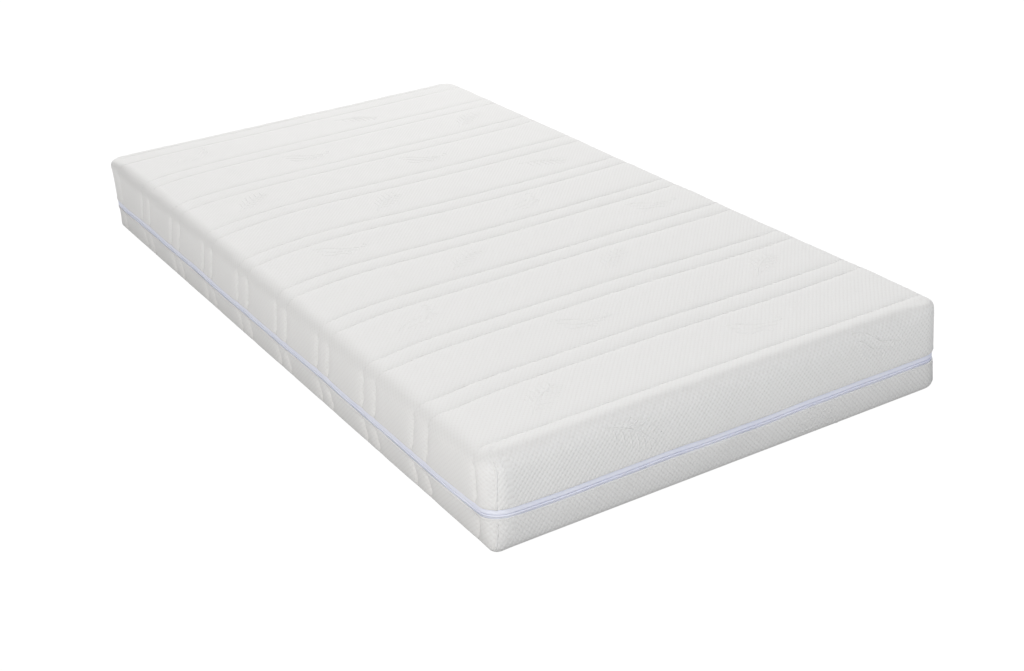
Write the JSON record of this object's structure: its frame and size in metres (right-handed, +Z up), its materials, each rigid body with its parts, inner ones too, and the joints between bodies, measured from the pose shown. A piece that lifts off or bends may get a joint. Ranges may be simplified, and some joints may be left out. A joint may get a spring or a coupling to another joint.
{
  "type": "mattress",
  "caption": "Single foam mattress with a memory foam layer in a quilted knit cover that unzips all round into two halves.",
  "frame": {"origin": "middle of the underside", "axes": "+X across the mattress, +Y from the foot end to the head end, +Z up"},
  "size_m": [1, 2, 0.18],
  "materials": {
    "knit_face": "jacquard knit, matte",
    "wadding": "polyester fibre",
    "backing": "thin non-woven",
    "thread": "polyester sewing thread",
    "zip_tape": "woven polyester tape",
    "zip_coil": "extruded nylon",
    "slider_metal": "white enamel on zinc",
    "stockinette": "fine single knit",
    "memory_foam": "open cell foam",
    "support_foam": "open cell foam"
  },
  "bodies": {
    "lower_cover": {"lower_cover_face": "knit_face", "lower_cover_wadding": "wadding", "lower_cover_backing": "backing", "lower_quilt_thread": "thread", "lower_zip_seam_thread": "thread", "lower_corner_seams": "knit_face", "zip_tape_lower": "zip_tape", "zip_coil_lower": "zip_coil", "zip_end_stop": "zip_coil"},
    "foam_core": {"support_core": "support_foam", "memory_foam_layer": "memory_foam", "inner_sock": "stockinette"},
    "upper_cover": {"upper_cover_face": "knit_face", "upper_cover_wadding": "wadding", "upper_cover_backing": "backing", "upper_quilt_thread": "thread", "upper_zip_seam_thread": "thread", "upper_corner_seams": "knit_face", "zip_tape_upper": "zip_tape", "zip_coil_upper": "zip_coil"},
    "zip_slider": {"zip_slider_body": "slider_metal"},
    "pull_tab": {"zip_pull_tab": "slider_metal"}
  },
  "joints": [
    {"name": "core_lift", "type": "slide", "parent": "lower_cover", "child": "foam_core", "axis": [0, 0, 1], "range_m": [0, 0.12]},
    {"name": "upper_cover_lift", "type": "slide", "parent": "foam_core", "child": "upper_cover", "axis": [0, 0, 1], "range_m": [0, 0.2]},
    {"name": "zip_run", "type": "slide", "parent": "lower_cover", "child": "zip_slider", "axis": [0, -1, 0], "range_m": [0, 1.86]},
    {"name": "pull_tab_swing", "type": "hinge", "parent": "zip_slider", "child": "pull_tab", "pos_m": [0.4977, 0.93, 0.0646], "axis": [0, 0, -1], "range_deg": [0, 180]}
  ]
}
